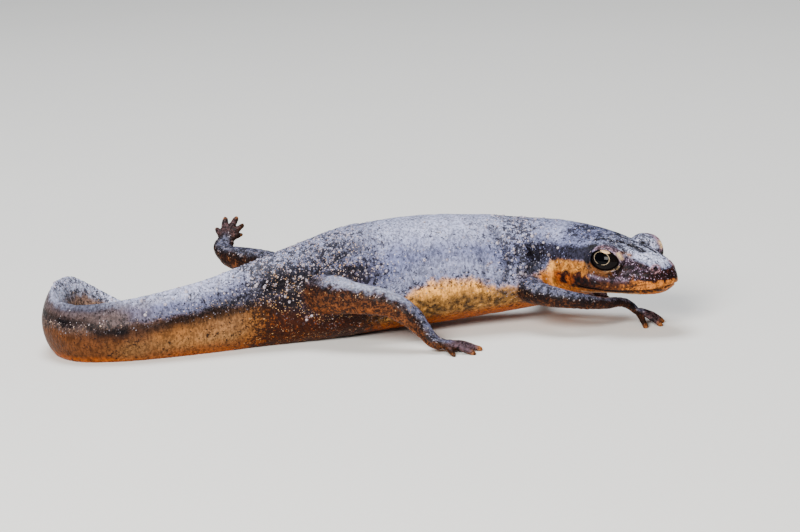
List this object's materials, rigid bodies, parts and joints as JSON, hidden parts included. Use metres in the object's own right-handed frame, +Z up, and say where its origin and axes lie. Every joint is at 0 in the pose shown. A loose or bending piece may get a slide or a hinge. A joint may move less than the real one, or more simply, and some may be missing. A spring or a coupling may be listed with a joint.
{
  "type": "smooth newt model",
  "caption": "Life-size still model of a smooth newt lying with its head turned, one hind leg held up and its tail curled round.",
  "frame": {"origin": "on the floor under the middle of the model's bounding box", "axes": "+X towards the head, +Y to the newt's left, +Z up"},
  "size_m": [0.054, 0.023, 0.0097],
  "materials": {
    "skin": "dark slate to brown skin with fine pale specks and an orange underside, satin with a damp sheen",
    "throat_skin": "orange skin with dark spots, satin with a damp sheen",
    "eye": "black with a thin gold ring, wet gloss"
  },
  "bodies": {
    "root": {"head": "skin", "lower_jaw": "throat_skin", "left_eye": "eye", "right_eye": "eye", "neck": "skin", "chest": "skin", "belly": "skin", "pelvis": "skin", "tail_base": "skin", "tail_middle": "skin", "tail_bend": "skin", "tail_return": "skin", "tail_tip": "skin", "right_upper_arm": "skin", "right_forearm": "skin", "right_hand": "skin", "left_upper_arm": "skin", "left_forearm": "skin", "left_hand": "skin", "right_thigh": "skin", "right_shank": "skin", "right_foot": "skin", "left_thigh": "skin", "left_shank": "skin", "left_foot": "skin"}
  },
  "joints": []
}
